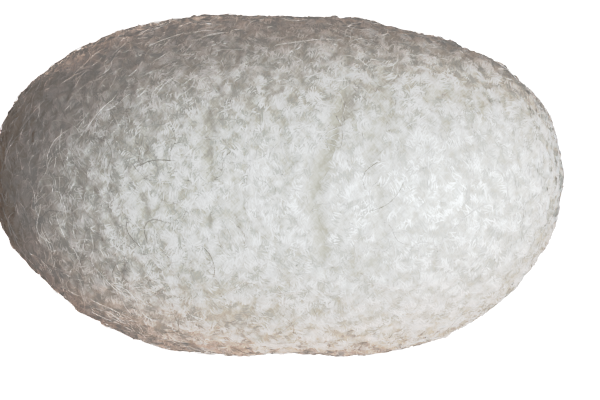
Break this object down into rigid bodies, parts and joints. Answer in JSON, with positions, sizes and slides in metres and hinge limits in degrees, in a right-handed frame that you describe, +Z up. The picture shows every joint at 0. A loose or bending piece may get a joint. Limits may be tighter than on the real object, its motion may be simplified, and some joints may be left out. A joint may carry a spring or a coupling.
{
  "type": "silk cocoon",
  "caption": "Closed oval silkworm cocoon, blunt at both ends with a slight waist, lying on a small flat spot on its belly.",
  "frame": {"origin": "middle of the length and width, at the level of the flat resting spot on the belly", "axes": "+X along the cocoon's length, +Y across its width, +Z up, away from the resting spot; the height along Z is the shortest side"},
  "size_m": [0.035, 0.021, 0.02],
  "materials": {
    "silk": "off-white raw silk, crinkled and fibrous, with a soft sheen"
  },
  "bodies": {
    "root": {"cocoon": "silk"}
  },
  "joints": []
}
